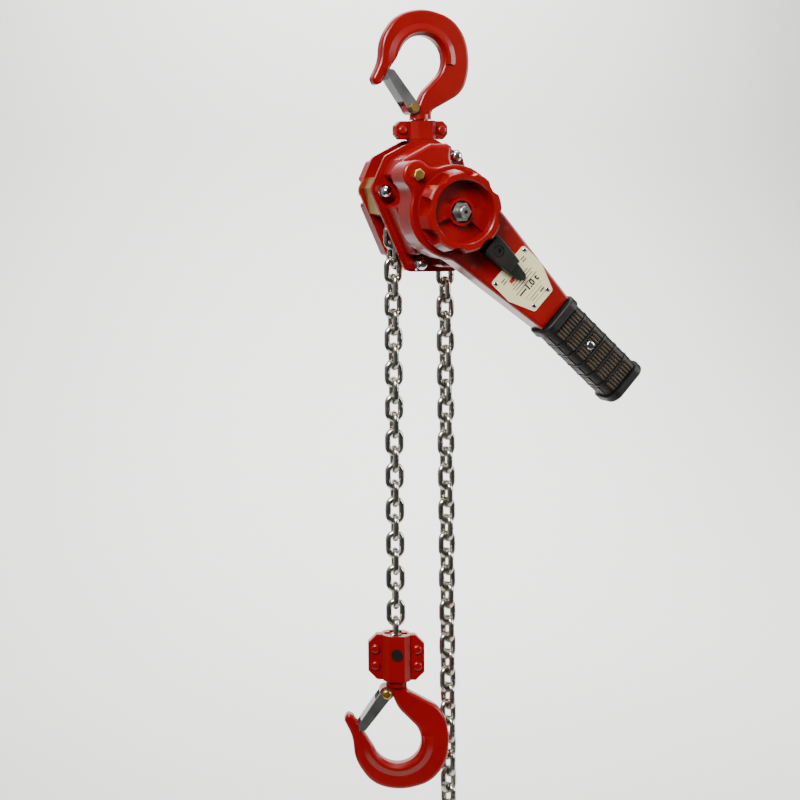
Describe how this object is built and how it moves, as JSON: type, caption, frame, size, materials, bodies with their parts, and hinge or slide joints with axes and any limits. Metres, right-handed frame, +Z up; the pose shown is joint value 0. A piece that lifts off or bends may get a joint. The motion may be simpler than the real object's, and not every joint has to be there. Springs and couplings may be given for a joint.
{
  "type": "lever chain hoist",
  "caption": "Hand lever hoist with side plates, hand wheel, rubber lever grip, top and bottom latched hooks, load chain and tail chain.",
  "frame": {"origin": "centre of the top hook's bowl, where the hoist hangs", "axes": "+Z up along the hanging line, -Y towards the lever and hand wheel, +X to the right seen from the front"},
  "size_m": [0.2875, 0.158, 0.8845],
  "materials": {
    "red_enamel": "gloss",
    "zinc_chain": "bright zinc",
    "chrome": "polished",
    "yellow_zinc": "satin",
    "machined_steel": "machined",
    "black_steel": "satin",
    "friction_lining": "matte",
    "bronze": "satin",
    "grip_rubber": "matte",
    "plate_ivory": "satin",
    "sheet_steel": "satin"
  },
  "bodies": {
    "top_hook": {"top_hook": "red_enamel", "top_latch_screw": "yellow_zinc"},
    "top_latch": {"top_latch": "sheet_steel"},
    "top_yoke": {"top_yoke_front": "red_enamel", "top_yoke_rear": "red_enamel", "top_yoke_rivets": "red_enamel"},
    "frame": {"top_pin": "machined_steel", "front_side_plate": "red_enamel", "rear_side_plate": "red_enamel", "stay_bolts": "machined_steel", "stay_spacers": "machined_steel", "front_cap_nuts": "chrome", "rear_cap_nuts": "chrome", "chain_guide": "yellow_zinc", "chain_stripper": "yellow_zinc", "front_bearing": "machined_steel", "rear_bearing": "machined_steel", "disc_gear_pins": "machined_steel", "gear_cover": "red_enamel", "shaft_bush": "bronze", "ratchet_disc": "machined_steel", "pawl_pins": "machined_steel", "brake_cover": "red_enamel", "sheave_chain": "zinc_chain"},
    "brake_pawl_a": {"brake_pawl_a": "machined_steel"},
    "brake_pawl_b": {"brake_pawl_b": "machined_steel"},
    "sheave": {"load_sheave": "machined_steel", "load_gear": "machined_steel"},
    "upper_disc": {"upper_disc_gear": "machined_steel"},
    "lower_disc": {"lower_disc_gear": "machined_steel"},
    "drive": {"drive_shaft": "machined_steel", "friction_hub": "machined_steel", "friction_plates": "friction_lining", "change_gear": "machined_steel", "hand_wheel": "red_enamel", "shaft_nut": "machined_steel"},
    "lever": {"lever_front_shell": "red_enamel", "lever_rear_shell": "red_enamel", "lever_bolts": "yellow_zinc", "lever_grip": "grip_rubber", "grip_screw": "chrome", "name_plate": "plate_ivory", "name_plate_rivets": "chrome"},
    "selector": {"selector_knob": "black_steel", "selector_screw": "black_steel", "selector_shaft": "machined_steel", "changeover_pawl": "machined_steel"},
    "load_fall": {"load_chain_top": "zinc_chain"},
    "load_fall_middle": {"load_chain_middle": "zinc_chain"},
    "load_fall_lower": {"load_chain_bottom": "zinc_chain"},
    "bottom_block": {"bottom_block_front": "red_enamel", "bottom_block_rear": "red_enamel", "bottom_block_rivets": "red_enamel", "chain_pin": "black_steel"},
    "bottom_hook": {"bottom_hook": "red_enamel", "bottom_latch_screw": "yellow_zinc"},
    "bottom_latch": {"bottom_latch": "sheet_steel"},
    "tail_fall": {"tail_chain_top": "zinc_chain"},
    "tail_fall_lower": {"tail_chain_bottom": "zinc_chain"},
    "tail_ring": {"tail_end_ring": "zinc_chain"}
  },
  "joints": [
    {"name": "top_latch_open", "type": "hinge", "parent": "top_hook", "child": "top_latch", "pos_m": [-0.0105, 0, -0.0497], "axis": [0, 1, 0], "range_deg": [0, 38], "stiffness_Nm_per_rad": 0.05, "springref_deg": -20.05},
    {"name": "hook_swivel", "type": "hinge", "parent": "top_hook", "child": "top_yoke", "pos_m": [0, 0, -0.073], "axis": [0, 0, 1], "continuous": true},
    {"name": "frame_swing", "type": "hinge", "parent": "top_yoke", "child": "frame", "pos_m": [0, 0, -0.098], "axis": [0, 1, 0], "range_deg": [-20, 20]},
    {"name": "lever_swing", "type": "hinge", "parent": "frame", "child": "lever", "pos_m": [-0.003, -0.074, -0.158], "axis": [0, 1, 0], "continuous": true},
    {"name": "selector_turn", "type": "hinge", "parent": "lever", "child": "selector", "pos_m": [0.03848, -0.08, -0.19709], "axis": [0, 1, 0], "range_deg": [-28, 28]},
    {"name": "chain_lift", "type": "slide", "parent": "frame", "child": "load_fall", "axis": [0, 0, 1], "range_m": [-0.035, 0.035], "deforming": ["sheave_chain"]},
    {"name": "sheave_turn", "type": "hinge", "parent": "frame", "child": "sheave", "pos_m": [-0.003, 0, -0.158], "axis": [0, 1, 0], "range_deg": [-70.4, 70.4]},
    {"name": "upper_disc_turn", "type": "hinge", "parent": "frame", "child": "upper_disc", "pos_m": [-0.01441, 0.028, -0.13353], "axis": [0, 1, 0], "range_deg": [-182.6, 182.6]},
    {"name": "lower_disc_turn", "type": "hinge", "parent": "frame", "child": "lower_disc", "pos_m": [0.00841, 0.028, -0.18247], "axis": [0, 1, 0], "range_deg": [-182.6, 182.6]},
    {"name": "drive_turn", "type": "hinge", "parent": "frame", "child": "drive", "pos_m": [-0.003, -0.05, -0.158], "axis": [0, 1, 0], "range_deg": [-474, 474]},
    {"name": "tail_run", "type": "slide", "parent": "frame", "child": "tail_fall", "axis": [0, 0, 1], "range_m": [-0.0351, 0.0351]},
    {"name": "brake_pawl_a_lift", "type": "hinge", "parent": "frame", "child": "brake_pawl_a", "pos_m": [-0.023, -0.031, -0.118], "axis": [0, 1, 0], "range_deg": [-8, 0], "stiffness_Nm_per_rad": 0.02, "springref_deg": 17.19},
    {"name": "brake_pawl_b_lift", "type": "hinge", "parent": "frame", "child": "brake_pawl_b", "pos_m": [0.025, -0.031, -0.194], "axis": [0, 1, 0], "range_deg": [-8, 0], "stiffness_Nm_per_rad": 0.02, "springref_deg": 17.19},
    {"name": "chain_swing_middle", "type": "hinge", "parent": "load_fall", "child": "load_fall_middle", "pos_m": [-0.03165, 0, -0.3317], "axis": [0.0872, 0.9962, 0], "range_deg": [-1.5, 12]},
    {"name": "chain_swing_lower", "type": "hinge", "parent": "load_fall_middle", "child": "load_fall_lower", "pos_m": [-0.03165, 0, -0.48114], "axis": [0.9781, -0.2079, 0], "range_deg": [-12, 1]},
    {"name": "block_swing", "type": "hinge", "parent": "load_fall_lower", "child": "bottom_block", "pos_m": [-0.03165, 0, -0.61792], "axis": [0.342, 0.9397, 0], "range_deg": [-8, 8]},
    {"name": "bottom_hook_swivel", "type": "hinge", "parent": "bottom_block", "child": "bottom_hook", "pos_m": [-0.03165, 0, -0.64292], "axis": [0, 0, 1], "continuous": true},
    {"name": "bottom_latch_open", "type": "hinge", "parent": "bottom_hook", "child": "bottom_latch", "pos_m": [-0.04151, 0.00359, -0.66072], "axis": [-0.342, -0.9397, 0], "range_deg": [0, 38], "stiffness_Nm_per_rad": 0.05, "springref_deg": -20.05},
    {"name": "tail_swing", "type": "hinge", "parent": "tail_fall", "child": "tail_fall_lower", "pos_m": [0.0269, 0, -0.48514], "axis": [0.9921, 0.1253, 0], "range_deg": [-12, 12]},
    {"name": "tail_ring_swing", "type": "hinge", "parent": "tail_fall_lower", "child": "tail_ring", "pos_m": [0.0269, 0, -0.8077], "axis": [0.9511, 0.309, 0], "range_deg": [-25, 25]}
  ],
  "couplings": [
    {"joint": "sheave_turn", "follows": "chain_lift", "rad_per_m": 34.907},
    {"joint": "upper_disc_turn", "follows": "chain_lift", "rad_per_m": -90.757},
    {"joint": "lower_disc_turn", "follows": "chain_lift", "rad_per_m": -90.757},
    {"joint": "drive_turn", "follows": "chain_lift", "rad_per_m": 235.97},
    {"joint": "tail_run", "follows": "chain_lift", "ratio": -1}
  ]
}
